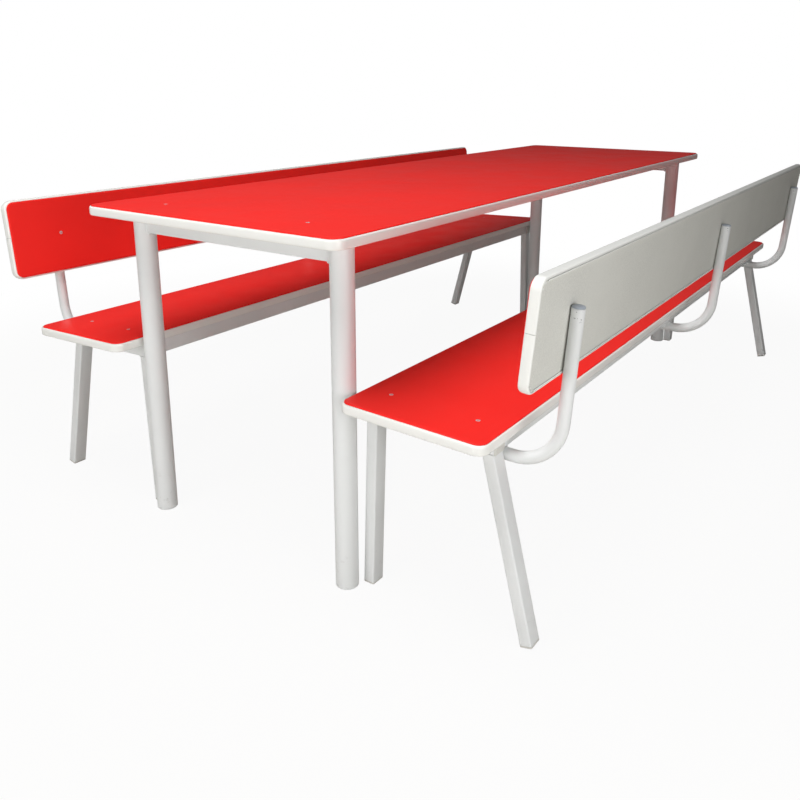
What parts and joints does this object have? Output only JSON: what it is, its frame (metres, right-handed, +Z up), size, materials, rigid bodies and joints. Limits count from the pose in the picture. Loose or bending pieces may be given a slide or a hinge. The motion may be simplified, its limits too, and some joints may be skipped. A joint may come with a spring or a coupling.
{
  "type": "school dining table with benches",
  "caption": "Long dining table on round legs with loose benches; red-faced tops, seats and backrests with white moulded edging on white tube frames.",
  "frame": {"origin": "on the floor, under the middle of the whole set's outline", "axes": "+X along the table, +Y across it from the near bench to the far bench, +Z up"},
  "size_m": [2.265, 1.4668, 0.75],
  "materials": {
    "red_facing": "glossy red laminate",
    "pale_board": "pale grey melamine-faced chipboard",
    "white_edging": "satin white moulded plastic",
    "white_steel": "white powder coat",
    "white_foot": "off-white moulded plastic",
    "zinc_screw": "zinc-plated steel",
    "grey_plug": "bluish grey moulded plastic"
  },
  "bodies": {
    "table": {"table_top_board": "pale_board", "table_top_facing": "red_facing", "table_top_edging": "white_edging", "table_leg_left_near": "white_steel", "table_leg_left_far": "white_steel", "table_leg_right_near": "white_steel", "table_leg_right_far": "white_steel", "table_end_rail_left": "white_steel", "table_end_rail_right": "white_steel", "table_centre_rail": "white_steel"},
    "near_bench": {"near_bench_seat_board": "pale_board", "near_bench_seat_facing": "red_facing", "near_bench_seat_edging": "white_edging", "near_bench_back_board": "pale_board", "near_bench_back_facing": "red_facing", "near_bench_back_edging": "white_edging", "near_bench_front_rail": "white_steel", "near_bench_rear_rail": "white_steel", "near_bench_cross_rail_left": "white_steel", "near_bench_front_leg_left": "white_steel", "near_bench_front_foot_left": "white_foot", "near_bench_rear_leg_left": "white_steel", "near_bench_rear_foot_left": "white_foot", "near_bench_cross_rail_right": "white_steel", "near_bench_front_leg_right": "white_steel", "near_bench_front_foot_right": "white_foot", "near_bench_rear_leg_right": "white_steel", "near_bench_rear_foot_right": "white_foot", "near_bench_back_tube_left": "white_steel", "near_bench_tube_plug_left": "grey_plug", "near_bench_back_tube_middle": "white_steel", "near_bench_tube_plug_middle": "grey_plug", "near_bench_back_tube_right": "white_steel", "near_bench_tube_plug_right": "grey_plug"},
    "far_bench": {"far_bench_seat_board": "pale_board", "far_bench_seat_facing": "red_facing", "far_bench_seat_edging": "white_edging", "far_bench_back_board": "pale_board", "far_bench_back_facing": "red_facing", "far_bench_back_edging": "white_edging", "far_bench_front_rail": "white_steel", "far_bench_rear_rail": "white_steel", "far_bench_cross_rail_left": "white_steel", "far_bench_front_leg_left": "white_steel", "far_bench_front_foot_left": "white_foot", "far_bench_rear_leg_left": "white_steel", "far_bench_rear_foot_left": "white_foot", "far_bench_cross_rail_right": "white_steel", "far_bench_front_leg_right": "white_steel", "far_bench_front_foot_right": "white_foot", "far_bench_rear_leg_right": "white_steel", "far_bench_rear_foot_right": "white_foot", "far_bench_back_tube_left": "white_steel", "far_bench_tube_plug_left": "grey_plug", "far_bench_back_tube_middle": "white_steel", "far_bench_tube_plug_middle": "grey_plug", "far_bench_back_tube_right": "white_steel", "far_bench_tube_plug_right": "grey_plug"}
  },
  "joints": [
    {"name": "near_bench_slide", "type": "slide", "parent": "table", "child": "near_bench", "axis": [0, -1, 0], "range_m": [0, 0.4]},
    {"name": "far_bench_slide", "type": "slide", "parent": "table", "child": "far_bench", "axis": [0, 1, 0], "range_m": [0, 0.4]}
  ]
}
